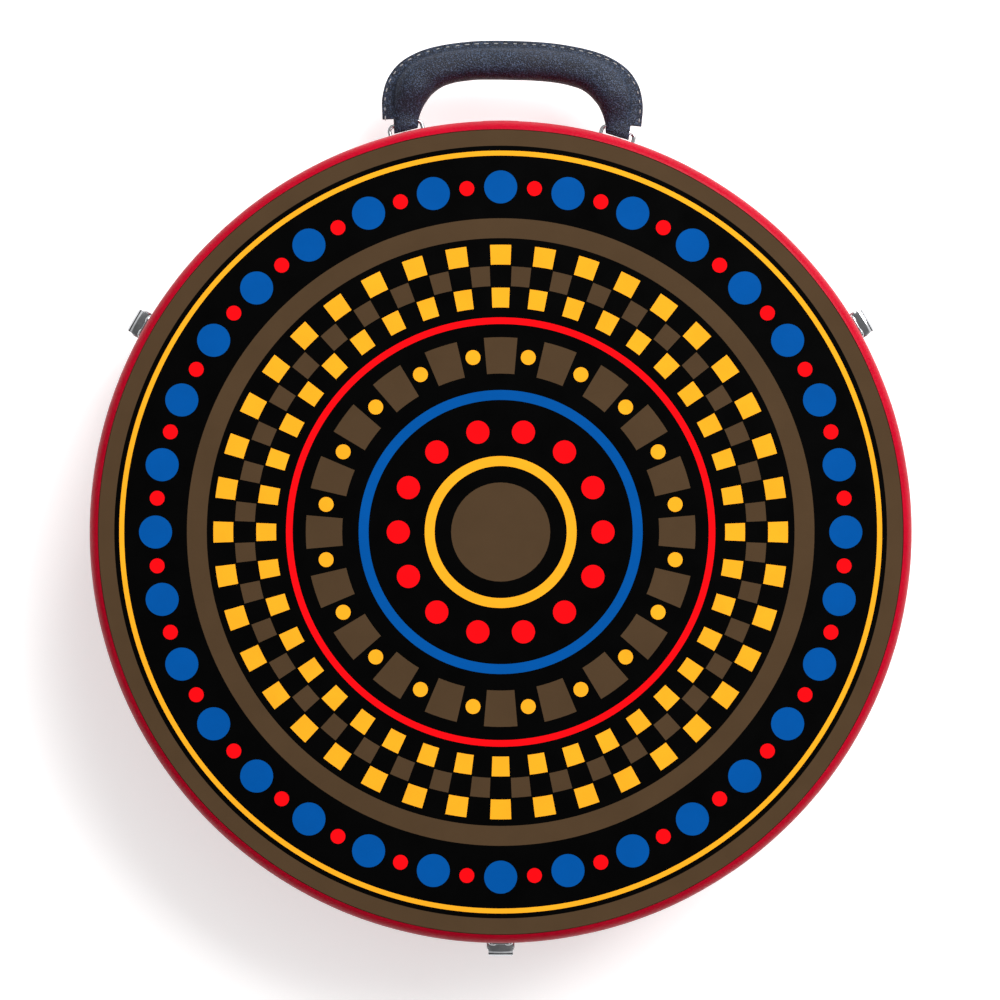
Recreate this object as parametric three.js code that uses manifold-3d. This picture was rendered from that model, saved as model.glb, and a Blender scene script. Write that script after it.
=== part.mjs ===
// A round hard case for a hand drum, lying on its back.
// Units are millimetres. +Z is up, out of the lid's face, and the carrying handle is towards +Y.
// The origin is on the case's own axis, in the plane of its back.
import * as THREE from 'three';
import { mergeVertices } from 'three/addons/utils/BufferGeometryUtils.js';
import Module from 'manifold-3d';

// ---- Driving dimensions ----
const CASE_RADIUS = 250;
const CASE_DEPTH = 112;
const SPLIT_Z = 80;              // height of the mouth, where lid and base meet
const EDGE_RADIUS = 6;           // rolled edge of the lid and of the back
const SKIN = 1;                  // vinyl covering
const HOOP = 4.7;                // bent plywood wall
const PANEL = 3.7;               // plywood discs
const FIT = 0.3;                 // gap left between pieces that are glued or laid together
const ROUND_SIDES = 60;          // sides of every round shell piece

const PAD = 9.7;                 // plush-covered foam under the lid and on the floor
const SIDE_PADDING = 8.2;
const LIP_HEIGHT = 12;           // how far the locating lip stands into the lid
const LINING = 1.1;

const LATCH_ANGLES = [30, 150, 270];
const HANDLE_ANGLE = 88.4;       // the handle sits a little off the square
const RING_SPREAD = 15;          // each ring's angle from the middle of the handle

// ---- Colours ----
const RED_VINYL = { color: 0xc8102e, roughness: 0.35, metalness: 0 };
const PRINT = { color: 0xe0a030, roughness: 0.45, metalness: 0 };
const PLYWOOD = { color: 0xc79a62, roughness: 0.7, metalness: 0 };
const PLUSH = { color: 0x1c1c22, roughness: 0.95, metalness: 0 };
const CHROME = { color: 0xd8dade, roughness: 0.15, metalness: 1 };
const STEEL = { color: 0x9a9ca0, roughness: 0.35, metalness: 1 };
const LEATHER = { color: 0x1d2233, roughness: 0.5, metalness: 0 };

const wasm = await Module();
wasm.setup();

const drumCase = new THREE.Group();
const radians = THREE.MathUtils.degToRad;

// ---- Solids: joining and cutting ----
function solid(geometry) {
  const bare = geometry.clone();
  bare.deleteAttribute('normal');
  bare.deleteAttribute('uv');
  const merged = mergeVertices(bare, 1e-4);
  return new wasm.Manifold(new wasm.Mesh({
    numProp: 3,
    vertProperties: merged.attributes.position.array,
    triVerts: new Uint32Array(merged.index.array),
  }));
}

function geometryOf(manifold) {
  const mesh = manifold.getMesh();
  const geometry = new THREE.BufferGeometry();
  geometry.setAttribute('position', new THREE.BufferAttribute(mesh.vertProperties, 3));
  geometry.setIndex(new THREE.BufferAttribute(mesh.triVerts, 1));
  geometry.computeVertexNormals();
  return geometry;
}

function join(...geometries) {
  return geometryOf(geometries.map(solid).reduce((whole, piece) => whole.add(piece)));
}

function cut(geometry, ...tools) {
  return geometryOf(tools.map(solid).reduce((whole, tool) => whole.subtract(tool), solid(geometry)));
}

// ---- Shapes ----
// Turns a profile of [radius, height] points about the case's axis.
function turned(profile, sides = ROUND_SIDES) {
  const points = profile.map(([radius, height]) => new THREE.Vector2(radius, height));
  return new THREE.LatheGeometry(points, sides).rotateX(Math.PI / 2);
}

function disc(radius, low, high) {
  return turned([[0, low], [radius, low], [radius, high], [0, high]]);
}

function closedRing(profile) {
  return turned([...profile, profile[0]]);
}

// Points of a rolled edge about a centre, between two angles in degrees.
function edgeArc(centreRadius, centreHeight, radius, from, to, steps) {
  return Array.from({ length: steps + 1 }, (_, step) => {
    const angle = radians(from + (to - from) * step / steps);
    return [centreRadius + radius * Math.cos(angle), centreHeight + radius * Math.sin(angle)];
  });
}

// Extrudes an outline of [outward, up] points to a width, centred on the latch's or bracket's own middle.
function sheet(outline, width, holes = []) {
  const shape = new THREE.Shape(outline.map(([outward, up]) => new THREE.Vector2(outward, up)));
  for (const [outward, up, radius] of holes) {
    shape.holes.push(new THREE.Path().absarc(outward, up, radius, 0, 2 * Math.PI, true));
  }
  return new THREE.ExtrudeGeometry(shape, { depth: width, bevelEnabled: false, curveSegments: 5 })
    .rotateX(Math.PI / 2)
    .translate(0, width / 2, 0);
}

function block(lowOut, highOut, width, low, high) {
  return sheet([[lowOut, low], [highOut, low], [highOut, high], [lowOut, high]], width);
}

// A round bar across the latch or bracket, through a point.
function crossBar(outward, up, radius, length, sides = 14) {
  return new THREE.CylinderGeometry(radius, radius, length, sides).translate(outward, 0, up);
}

const FASTENER_SIDES = 10;
const RIVET_SHANK = 1.3;
const RIVET_HOLE = 1.6;
const RIVET_RIM = 0.4;           // height of the head's straight edge
const RIVET_DOME = 1.4;          // height of the whole head

// A domed rivet whose axis points outward; its shank ends flush inside the plywood hoop.
function rivetGeometry(headRadius, seat) {
  const depth = SKIN + HOOP + FIT;
  const profile = [
    [0, -depth], [RIVET_SHANK, -depth], [RIVET_SHANK, seat], [headRadius, seat],
    [headRadius, seat + RIVET_RIM], [headRadius * 0.75, seat + RIVET_DOME * 0.8], [0, seat + RIVET_DOME],
  ];
  return new THREE.LatheGeometry(profile.map(([x, y]) => new THREE.Vector2(x, y)), FASTENER_SIDES)
    .rotateZ(-Math.PI / 2);
}

// A rivet's hole, long enough to pass through the wall or a metal plate that stands on it.
function rivetHole(sideways, height) {
  const length = 20;
  return new THREE.CylinderGeometry(RIVET_HOLE, RIVET_HOLE, length, FASTENER_SIDES)
    .rotateZ(Math.PI / 2)
    .translate(0, sideways, height);
}

function wallHole(angle, sideways, height) {
  return rivetHole(sideways, height).translate(CASE_RADIUS, 0, 0).rotateZ(radians(angle));
}

function add(name, geometry, finish, parent = drumCase) {
  const mesh = new THREE.Mesh(geometry, new THREE.MeshStandardMaterial(finish));
  mesh.name = name;
  parent.add(mesh);
  return mesh;
}

// A group standing on the wall at an angle: its +X points outward and starts at the covering.
function wallStation(angle) {
  const station = new THREE.Group();
  station.rotation.z = radians(angle);
  const wall = new THREE.Group();
  wall.position.x = CASE_RADIUS;
  station.add(wall);
  drumCase.add(station);
  return wall;
}

// ---- Where the wall is drilled ----
const PLATE_RIVET_HEIGHTS = [34, 46];
const KEEPER_RIVET_HEIGHT = 94.5;
const KEEPER_RIVET_SPACING = 9;
const HANDLE_Z = 40;             // height of the handle's plane
const BRACKET_RIVET_SPACING = 18;

const BRACKET_SIDES = [
  { side: 'left', angle: HANDLE_ANGLE + RING_SPREAD },
  { side: 'right', angle: HANDLE_ANGLE - RING_SPREAD },
];
const bracketRivetHeights = [HANDLE_Z - BRACKET_RIVET_SPACING / 2, HANDLE_Z + BRACKET_RIVET_SPACING / 2];

const baseHoles = [
  ...LATCH_ANGLES.flatMap((angle) => PLATE_RIVET_HEIGHTS.map((height) => wallHole(angle, 0, height))),
  ...BRACKET_SIDES.flatMap(({ angle }) => bracketRivetHeights.map((height) => wallHole(angle, 0, height))),
];
const lidHoles = LATCH_ANGLES.flatMap((angle) => [-1, 1].map(
  (side) => wallHole(angle, side * KEEPER_RIVET_SPACING / 2, KEEPER_RIVET_HEIGHT),
));

// ---- Radii that the shells share ----
const edgeCentre = CASE_RADIUS - EDGE_RADIUS;
const skinInside = CASE_RADIUS - SKIN;
const hoopOutside = skinInside - FIT;
const hoopInside = hoopOutside - HOOP;
const panelRadius = hoopInside - FIT;

// ---- Base: the deep half ----
const BACK_SKIN = 1.2;
const WALL_SKIN_LOW = 0.4;       // the wall's skin stops just above the back covering's face
const LIP_DEPTH = 16;            // how far the locating lip's foot is below the mouth
const LIP_SLACK = 1.4;           // between the lip and the lid's lining
const LIP_BEVEL = 2;

function addBase() {
  const top = SPLIT_Z - FIT;
  const centre = WALL_SKIN_LOW + EDGE_RADIUS;
  add('back_cover', disc(panelRadius, 0, BACK_SKIN), RED_VINYL);
  const coverProfile = [
    ...edgeArc(edgeCentre, centre, EDGE_RADIUS, -90, 0, 3),
    [CASE_RADIUS, top],
    [skinInside, top],
    ...edgeArc(edgeCentre, centre, EDGE_RADIUS - SKIN, 0, -90, 2),
  ];
  add('base_cover', cut(closedRing(coverProfile), ...baseHoles), RED_VINYL);

  const hoopProfile = [
    ...edgeArc(hoopInside, centre, HOOP, -90, 0, 1),
    [hoopOutside, top - FIT],
    [hoopInside, top - FIT],
  ];
  add('base_hoop', cut(closedRing(hoopProfile), ...baseHoles), PLYWOOD);

  const panelTop = BACK_SKIN + FIT + PANEL;
  add('base_panel', disc(panelRadius, BACK_SKIN + FIT, panelTop), PLYWOOD);
  const floorTop = panelTop + FIT + PAD;
  add('floor_pad', disc(panelRadius, panelTop + FIT, floorTop), PLUSH);

  const lipFoot = SPLIT_Z - LIP_DEPTH;
  const lipTop = SPLIT_Z + LIP_HEIGHT;
  const paddingInside = panelRadius - SIDE_PADDING;
  add('side_padding', closedRing([
    [paddingInside, floorTop + FIT],
    [panelRadius, floorTop + FIT],
    [panelRadius, lipFoot - FIT],
    [paddingInside, lipFoot - FIT],
  ]), PLUSH);

  const lipOutside = panelRadius - LINING - LIP_SLACK;
  add('locating_lip', closedRing([
    [paddingInside, lipFoot],
    [panelRadius, lipFoot],
    [panelRadius, top - FIT],
    [lipOutside, top - FIT],
    [lipOutside, lipTop - LIP_BEVEL],
    [lipOutside - LIP_BEVEL, lipTop],
    [paddingInside, lipTop],
  ]), PLUSH);
}

// ---- Lid: the shallow half, which lifts straight off ----
function addLid() {
  const low = SPLIT_Z + FIT;
  const centre = CASE_DEPTH - EDGE_RADIUS;
  const coverProfile = [
    [skinInside, low],
    [CASE_RADIUS, low],
    ...edgeArc(edgeCentre, centre, EDGE_RADIUS, 0, 90, 3),
    ...edgeArc(edgeCentre, centre, EDGE_RADIUS - SKIN, 90, 0, 2),
  ];
  add('lid_cover', cut(closedRing(coverProfile), ...lidHoles), RED_VINYL);
  add('face_print', disc(panelRadius, CASE_DEPTH - SKIN, CASE_DEPTH), PRINT);

  const panelTop = CASE_DEPTH - SKIN - FIT;
  add('lid_panel', disc(panelRadius, panelTop - PANEL, panelTop), PLYWOOD);
  const hoopProfile = [
    [hoopInside, low + FIT],
    [hoopOutside, low + FIT],
    ...edgeArc(hoopInside, centre, HOOP, 0, 90, 1),
  ];
  add('lid_hoop', cut(closedRing(hoopProfile), ...lidHoles), PLYWOOD);

  const padTop = panelTop - PANEL - FIT;
  add('lid_pad', disc(panelRadius - LINING - FIT, padTop - PAD, padTop), PLUSH);
  add('lid_lining', closedRing([
    [panelRadius - LINING, low + FIT],
    [panelRadius, low + FIT],
    [panelRadius, padTop],
    [panelRadius - LINING, padTop],
  ]), PLUSH);
}

// ---- Draw latches ----
const LATCH_WIDTH = 16;
const METAL = 1;                 // plate thickness of latches and brackets
const LEVER_METAL = 1.2;
const PIVOT = { out: 6.2, up: 70, radius: 1.4 };     // the lever's pin, in the plate's ears
const LINK = { out: 5.8, up: 62, radius: 1.2 };      // the hook's pin, carried by the lever
const PIN_CLEARANCE = 0.3;
const EAR_RADIUS = 3.2;
const EAR_METAL = 1.1;
const EAR_SPACING = 10.4;        // between the ears' inner faces
const PLATE_LOW = 30;
const PLATE_HIGH = 77;
const SHELF_TOP = 86.8;          // top of the keeper's shelf, which the hook's claw bears on
const SHELF_OUT = 7;             // how far the shelf stands out from the wall
const KEEPER_HIGH = 101;
const CLAW_TIP = 1.7;            // from the wall to the claw's end
const CLAW_GAP = 0.35;           // between the claw and the shelf
const HOOK_FACE = 10.6;          // from the wall to the front of the hook
const HOOK_BEND = 2.6;
const LEVER_FACE = 12.6;         // from the wall to the front of the lever
const LEVER_LOW = 30;
const HEAD_RADIUS = 2.5;

// Points round a pin, used as the rounded end of an ear or an arm.
function roundEnd(pin, radius, from, to) {
  return edgeArc(pin.out, pin.up, radius, from, to, 5);
}

function latchPlate() {
  const plate = block(FIT, FIT + METAL, LATCH_WIDTH, PLATE_LOW, PLATE_HIGH);
  const earOutline = [
    [FIT + METAL / 2, PIVOT.up - 5.5],
    ...roundEnd(PIVOT, EAR_RADIUS, -60, 90),
    [FIT + METAL / 2, PIVOT.up + 4.5],
  ];
  const ear = sheet(earOutline, EAR_METAL, [[PIVOT.out, PIVOT.up, PIVOT.radius + PIN_CLEARANCE]]);
  const ears = [-1, 1].map((side) => ear.clone().translate(0, side * (EAR_SPACING + EAR_METAL) / 2, 0));
  return cut(join(plate, ...ears), ...PLATE_RIVET_HEIGHTS.map((height) => rivetHole(0, height)));
}

function latchLever() {
  const top = LINK.up - 12;      // of the front plate; the hook lies open above it
  const back = 2.4;
  const cheekFront = LEVER_FACE - 0.2;
  const cheekOutline = [
    [back, LEVER_LOW + 10],
    [back + 5, LEVER_LOW],
    [cheekFront, LEVER_LOW],
    [cheekFront, top],
    [9.4, LINK.up + 2],
    ...roundEnd(PIVOT, 3, 0, 180),
    [back, LINK.up - 2],
  ];
  const pinHoles = [PIVOT, LINK].map((pin) => [pin.out, pin.up, pin.radius + PIN_CLEARANCE]);
  const cheek = sheet(cheekOutline, LEVER_METAL, pinHoles);
  const cheeks = [-1, 1].map((side) => cheek.clone().translate(0, side * (LATCH_WIDTH - LEVER_METAL) / 2, 0));
  const frontPlate = block(LEVER_FACE - LEVER_METAL, LEVER_FACE, LATCH_WIDTH, LEVER_LOW, top);
  const fingerLip = sheet([
    [LEVER_FACE - LEVER_METAL, LEVER_LOW + 1],
    [LEVER_FACE + 0.6, LEVER_LOW - 3],
    [LEVER_FACE + 1.8, LEVER_LOW - 2.4],
    [LEVER_FACE, LEVER_LOW + 2.5],
  ], LATCH_WIDTH);
  return join(frontPlate, fingerLip, ...cheeks);
}

function latchHook() {
  const inside = HOOK_FACE - LEVER_METAL;
  const clawLow = SHELF_TOP + CLAW_GAP;
  const clawHigh = clawLow + LEVER_METAL;
  const bendOut = HOOK_FACE - HOOK_BEND;
  const bendHeight = clawHigh - HOOK_BEND;
  const shoulder = clawLow - HOOK_BEND;
  const stem = sheet([
    ...roundEnd(LINK, 2.4, 75, 345),
    [HOOK_FACE, LINK.up + 6],
    [HOOK_FACE, shoulder],
    [inside, shoulder],
    [inside, LINK.up + 6.5],
  ], EAR_SPACING - 1, [[LINK.out, LINK.up, LINK.radius + PIN_CLEARANCE]]);
  const clawOutline = [
    [HOOK_FACE, shoulder - 4],
    ...edgeArc(bendOut, bendHeight, HOOK_BEND, 0, 90, 3),
    [CLAW_TIP, clawHigh],
    [CLAW_TIP, clawLow],
    ...edgeArc(bendOut, bendHeight, HOOK_BEND - LEVER_METAL, 90, 0, 3),
    [inside, shoulder - 4],
  ];
  return join(stem, sheet(clawOutline, LATCH_WIDTH - 1));
}

function latchKeeper() {
  const bracket = sheet([
    [FIT, SHELF_TOP - METAL],
    [SHELF_OUT, SHELF_TOP - METAL],
    [SHELF_OUT, SHELF_TOP],
    [FIT + METAL, SHELF_TOP],
    [FIT + METAL, KEEPER_HIGH],
    [FIT, KEEPER_HIGH],
  ], LATCH_WIDTH - 1);
  const holes = [-1, 1].map((side) => rivetHole(side * KEEPER_RIVET_SPACING / 2, KEEPER_RIVET_HEIGHT));
  return cut(bracket, ...holes);
}

function addLatch(number, angle) {
  const wall = wallStation(angle);
  const name = `latch_${number}`;
  add(`${name}_plate`, latchPlate(), CHROME, wall);
  add(`${name}_lever`, latchLever(), CHROME, wall);
  add(`${name}_hook`, latchHook(), CHROME, wall);
  add(`${name}_keeper`, latchKeeper(), CHROME, wall);
  add(`${name}_lever_pin`, crossBar(PIVOT.out, PIVOT.up, PIVOT.radius, LATCH_WIDTH), STEEL, wall);
  add(`${name}_hook_pin`, crossBar(LINK.out, LINK.up, LINK.radius, LATCH_WIDTH), STEEL, wall);
  PLATE_RIVET_HEIGHTS.forEach((height, index) => {
    const rivet = add(`${name}_plate_rivet_${index + 1}`, rivetGeometry(HEAD_RADIUS, FIT + METAL), CHROME, wall);
    rivet.position.z = height;
  });
  [-1, 1].forEach((side, index) => {
    const rivet = add(`${name}_keeper_rivet_${index + 1}`, rivetGeometry(HEAD_RADIUS, FIT + METAL), CHROME, wall);
    rivet.position.set(0, side * KEEPER_RIVET_SPACING / 2, KEEPER_RIVET_HEIGHT);
  });
}

// ---- Handle: brackets, rings and the padded grip ----
const RING_WIRE = 2.6;
const RING_INNER_BAR = 4.2;      // from the wall to the bar that lies in the bracket
const RING_OUTER_BAR = 12.4;     // from the wall to the bar that lies in the handle's foot
const RING_HALF_WIDTH = 10.5;
const BARREL_BORE = 2.3;         // wide enough for the slanted bar to swing in
const BARREL_OUTSIDE = 3.3;
const BARREL_WIDTH = 6;
const BRACKET_WIDTH = 14;
const BRACKET_HALF_HEIGHT = 13;

function bracketGeometry() {
  const low = HANDLE_Z - BRACKET_HALF_HEIGHT;
  const high = HANDLE_Z + BRACKET_HALF_HEIGHT;
  const plate = block(FIT, FIT + METAL, BRACKET_WIDTH, low, high);
  const barrel = crossBar(RING_INNER_BAR, HANDLE_Z, BARREL_OUTSIDE, BARREL_WIDTH, 20);
  const bore = crossBar(RING_INNER_BAR, HANDLE_Z, BARREL_BORE, BARREL_WIDTH + 2, 20);
  const holes = bracketRivetHeights.map((height) => rivetHole(0, height));
  return cut(join(plate, barrel), bore, ...holes);
}

function roundedRectangle(path, lowX, highX, halfY, radius) {
  path.moveTo(lowX + radius, -halfY);
  path.lineTo(highX - radius, -halfY);
  path.absarc(highX - radius, -halfY + radius, radius, -Math.PI / 2, 0, false);
  path.lineTo(highX, halfY - radius);
  path.absarc(highX - radius, halfY - radius, radius, 0, Math.PI / 2, false);
  path.lineTo(lowX + radius, halfY);
  path.absarc(lowX + radius, halfY - radius, radius, Math.PI / 2, Math.PI, false);
  path.lineTo(lowX, -halfY + radius);
  path.absarc(lowX + radius, -halfY + radius, radius, Math.PI, 1.5 * Math.PI, false);
  return path;
}

function ringGeometry() {
  const bevel = 0.75;            // rounds the wire's four long corners
  const halfWire = RING_WIRE / 2;
  const outerCorner = 3.5;
  const innerCorner = 2;
  const outer = roundedRectangle(
    new THREE.Shape(),
    RING_INNER_BAR - halfWire + bevel,
    RING_OUTER_BAR + halfWire - bevel,
    RING_HALF_WIDTH + halfWire - bevel,
    outerCorner,
  );
  outer.holes.push(roundedRectangle(
    new THREE.Path(),
    RING_INNER_BAR + halfWire - bevel,
    RING_OUTER_BAR - halfWire + bevel,
    RING_HALF_WIDTH - halfWire + bevel,
    innerCorner,
  ));
  return new THREE.ExtrudeGeometry(outer, {
    depth: RING_WIRE - 2 * bevel,
    bevelThickness: bevel,
    bevelSize: bevel,
    bevelSegments: 1,
    curveSegments: 3,
  }).translate(0, 0, HANDLE_Z - halfWire + bevel);
}

// The grip's middle line, from the left foot over the arch to the right foot.
const FOOT_Y = 246;
const HALF_ARCH = [[67.2, FOOT_Y], [67.8, 258], [67.6, 267], [64.5, 278], [55.5, 287], [39, 292], [18, 293.5]];
const archLine = new THREE.CatmullRomCurve3([
  ...HALF_ARCH.map(([x, y]) => new THREE.Vector3(-x, y, HANDLE_Z)),
  new THREE.Vector3(0, 293.7, HANDLE_Z),
  ...HALF_ARCH.toReversed().map(([x, y]) => new THREE.Vector3(x, y, HANDLE_Z)),
], false, 'centripetal');
const archLength = archLine.getLength();

const GRIP_HALF_WIDTH = 10.7;    // across the grip, in the handle's plane
const GRIP_HALF_THICK = 10.6;
const FOOT_HALF_WIDTH = 8.1;
const FOOT_HALF_THICK = 3.8;
const HIDE = 2;                  // wall of the sewn leather cover
const FLANGE = 3;                // sewn edge outside the grip
const SEWN_FROM = 12;            // how far along the arch line the sewn edge and the core start
const CORE_SLACK = 0.9;          // between the core and the cover's cavity

function halfWidthAt(y) {
  return THREE.MathUtils.lerp(FOOT_HALF_WIDTH, GRIP_HALF_WIDTH, THREE.MathUtils.smoothstep(y, 256, 261));
}

function halfThickAt(y) {
  return THREE.MathUtils.lerp(FOOT_HALF_THICK, GRIP_HALF_THICK, THREE.MathUtils.smoothstep(y, 257, 276));
}

// A point beside the arch line: outward across the grip, and up out of its plane.
function besideArch(along, across, up) {
  const point = archLine.getPointAt(along);
  const tangent = archLine.getTangentAt(along);
  return point.add(new THREE.Vector3(-tangent.y * across, tangent.x * across, up));
}

// A closed oval sleeve along the arch, made by bending a cylinder; inset makes it thinner all round.
function alongArch(startLength, inset, sides, steps) {
  const start = startLength / archLength;
  const geometry = new THREE.CylinderGeometry(1, 1, 1, sides, steps);
  const place = geometry.attributes.position;
  for (let index = 0; index < place.count; index += 1) {
    const along = THREE.MathUtils.lerp(start, 1 - start, place.getY(index) + 0.5);
    const { y } = archLine.getPointAt(along);
    const across = place.getX(index) * (halfWidthAt(y) - inset);
    const up = -place.getZ(index) * (halfThickAt(y) - inset); // reversed, so the faces keep pointing out
    const bent = besideArch(along, across, up);
    place.setXYZ(index, bent.x, bent.y, bent.z);
  }
  return geometry;
}

// The sewn edge: a flat band round the outside of the arch, sunk into the sleeve's wall.
function sewnFlange() {
  const thick = 2.6;
  const start = SEWN_FROM / archLength;
  const steps = 24;
  const sunk = 1.2;
  const edge = (across) => Array.from({ length: steps + 1 }, (_, step) => {
    const along = THREE.MathUtils.lerp(start, 1 - start, step / steps);
    const { y } = archLine.getPointAt(along);
    const point = besideArch(along, halfWidthAt(y) + across, 0);
    return new THREE.Vector2(point.x, point.y);
  });
  const outline = new THREE.Shape([...edge(FLANGE), ...edge(-sunk).reverse()]);
  return new THREE.ExtrudeGeometry(outline, { depth: thick, bevelEnabled: false })
    .translate(0, 0, HANDLE_Z - thick / 2);
}

// A shape given at a ring's own station, moved into the handle's frame.
function atRing(geometry, turn) {
  return geometry.translate(CASE_RADIUS, 0, 0).rotateZ(radians(90 + turn));
}

function handleCover() {
  const barPlace = 7.6;          // how far along the arch line the ring's bar lies
  const boreRadius = RING_WIRE / 2 + 0.45;
  const footEnd = RING_OUTER_BAR - 3.6;  // the foot is cut square, this far from the wall
  const cuts = [RING_SPREAD, -RING_SPREAD].flatMap((turn) => [
    atRing(crossBar(RING_OUTER_BAR, HANDLE_Z, boreRadius, 30, 12), turn),
    atRing(block(footEnd - 12, footEnd, 40, HANDLE_Z - 10, HANDLE_Z + 10), turn),
  ]);
  const cavity = alongArch(barPlace, HIDE, 8, 22);
  return cut(join(alongArch(0, 0, 14, 30), sewnFlange()), cavity, ...cuts);
}

function addHandle() {
  const handle = new THREE.Group();
  handle.rotation.z = radians(HANDLE_ANGLE - 90);
  drumCase.add(handle);
  add('handle_cover', handleCover(), LEATHER, handle);
  add('handle_core', alongArch(SEWN_FROM, HIDE + CORE_SLACK, 8, 22), STEEL, handle);

  for (const { side, angle } of BRACKET_SIDES) {
    const wall = wallStation(angle);
    add(`handle_ring_${side}`, ringGeometry(), CHROME, wall);
    add(`handle_bracket_${side}`, bracketGeometry(), CHROME, wall);
    bracketRivetHeights.forEach((height, index) => {
      const rivet = add(`bracket_${side}_rivet_${index + 1}`, rivetGeometry(HEAD_RADIUS, FIT + METAL), CHROME, wall);
      rivet.position.z = height;
    });
  }
}

addBase();
addLid();
LATCH_ANGLES.forEach((angle, index) => addLatch(index + 1, angle));
addHandle();

export default drumCase;
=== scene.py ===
"""Looks of a round hard case for a hand drum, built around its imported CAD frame.

Shapes are written in millimetres and scaled by MM. The case lies on its back, its axis is Z,
and the handle is towards +Y.
"""

import math

import bmesh
import bpy
from mathutils import Matrix, Vector, noise


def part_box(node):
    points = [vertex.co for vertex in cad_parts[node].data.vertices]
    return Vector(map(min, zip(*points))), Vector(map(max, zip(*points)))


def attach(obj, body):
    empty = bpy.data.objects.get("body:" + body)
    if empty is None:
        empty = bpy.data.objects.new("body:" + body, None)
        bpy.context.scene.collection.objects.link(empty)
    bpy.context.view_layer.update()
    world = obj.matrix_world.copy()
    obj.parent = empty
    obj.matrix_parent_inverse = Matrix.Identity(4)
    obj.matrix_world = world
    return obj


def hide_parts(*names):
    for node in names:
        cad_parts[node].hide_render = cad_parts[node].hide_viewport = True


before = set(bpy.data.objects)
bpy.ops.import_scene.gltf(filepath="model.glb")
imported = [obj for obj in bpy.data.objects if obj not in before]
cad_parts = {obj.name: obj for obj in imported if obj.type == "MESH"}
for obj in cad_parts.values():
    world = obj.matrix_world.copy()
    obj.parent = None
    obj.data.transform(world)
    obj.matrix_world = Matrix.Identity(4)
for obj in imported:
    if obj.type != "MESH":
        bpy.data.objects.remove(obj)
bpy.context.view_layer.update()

MM = 0.001
scene = bpy.context.scene


# ---- Sizes taken from the frame, in millimetres ----
def low_of(node):
    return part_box(node)[0] / MM


def high_of(node):
    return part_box(node)[1] / MM


def levels_of(node):
    """A node's lowest and highest height."""
    return low_of(node).z, high_of(node).z


RADIUS = high_of("lid_cover").x
FACE = high_of("lid_cover").z
LID_LOW = low_of("lid_cover").z
BASE_TOP = high_of("base_cover").z
PANEL_RADIUS = high_of("face_print").x
EDGE = 6                     # radius of the rolled edges
SKIN = 1                     # thickness of the vinyl
HOOP_OUT = high_of("base_hoop").x
HOOP_IN = PANEL_RADIUS + 0.3
HANDLE_Z = (low_of("handle_cover").z + high_of("handle_cover").z) / 2


def direction_of(node):
    """The angle about the case's axis at which a node stands, in degrees."""
    low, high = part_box(node)
    middle = (low + high) / 2
    return math.degrees(math.atan2(middle.y, middle.x))


# ---- Small mesh tools ----
def mesh_of(name, bm):
    """A mesh from a bmesh, which is used up."""
    mesh = bpy.data.meshes.new(name)
    bm.to_mesh(mesh)
    bm.free()
    return mesh


def place_object(name, data):
    """A named object in the scene, made from a mesh, a light or a camera."""
    made = bpy.data.objects.new(name, data)
    scene.collection.objects.link(made)
    return made


def put(name, bm, material, body, replaces=(), smooth=30):
    """Turns a bmesh into a named piece that rides on a CAD body."""
    bmesh.ops.recalc_face_normals(bm, faces=bm.faces)
    mesh = mesh_of(name, bm)
    mesh.shade_smooth()
    mesh.set_sharp_from_angle(angle=math.radians(smooth))
    mesh.materials.append(material)
    piece = place_object(name, mesh)
    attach(piece, body)
    if replaces:
        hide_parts(*replaces)
    return piece


def smoothstep(value, low, high):
    """A soft step from 0 to 1 between two values."""
    share = min(1, max(0, (value - low) / (high - low)))
    return share * share * (3 - 2 * share)


def even_angles(count):
    return [2 * math.pi * step / count for step in range(count)]


def turn(bm, profile, angles, shape=None):
    """Turns a profile of (radius, height) about Z. It closes on itself unless it ends on the axis.

    shape(radius, height, angle) may move each point in its own plane.
    """
    on_axis = profile[0][0] == 0
    columns = []
    poles = {}
    for angle in angles:
        column = []
        for index, (radius, height) in enumerate(profile):
            if shape and radius:
                radius, height = shape(radius, height, angle)
            place = (radius * math.cos(angle) * MM, radius * math.sin(angle) * MM, height * MM)
            if radius == 0:
                if index not in poles:
                    poles[index] = bm.verts.new(place)
                column.append(poles[index])
            else:
                column.append(bm.verts.new(place))
        columns.append(column)
    pairs = len(profile) - 1 if on_axis else len(profile)
    for step, column in enumerate(columns):
        beside = columns[(step + 1) % len(columns)]
        for index in range(pairs):
            after = (index + 1) % len(profile)
            corners = [column[index], beside[index], beside[after], column[after]]
            kept = list(dict.fromkeys(corners))
            if len(kept) > 2:
                bm.faces.new(kept)
    return bm


def arc(centre, middle_height, radius, start, end, steps):
    """Points of (radius, height) round a centre, between two angles in degrees."""
    points = []
    for step in range(steps + 1):
        angle = math.radians(start + (end - start) * step / steps)
        points.append((centre + radius * math.cos(angle), middle_height + radius * math.sin(angle)))
    return points


def rounded(corners, steps=4):
    """A closed outline whose corners (a, b, radius) are rounded; a corner without a radius stays."""
    points = []
    for index, corner in enumerate(corners):
        here = Vector(corner[:2])
        if len(corner) == 2:
            points.append(tuple(here))
            continue
        before = (Vector(corners[index - 1][:2]) - here).normalized()
        after = (Vector(corners[(index + 1) % len(corners)][:2]) - here).normalized()
        half = before.angle(after) / 2
        centre = here + (before + after).normalized() * corner[2] / math.sin(half)
        first = here + before * corner[2] / math.tan(half) - centre
        last = here + after * corner[2] / math.tan(half) - centre
        sweep = first.angle_signed(last)
        for step in range(steps + 1):
            turned = Matrix.Rotation(-sweep * step / steps, 2) @ first
            points.append(tuple(centre + turned))
    return points


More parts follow.
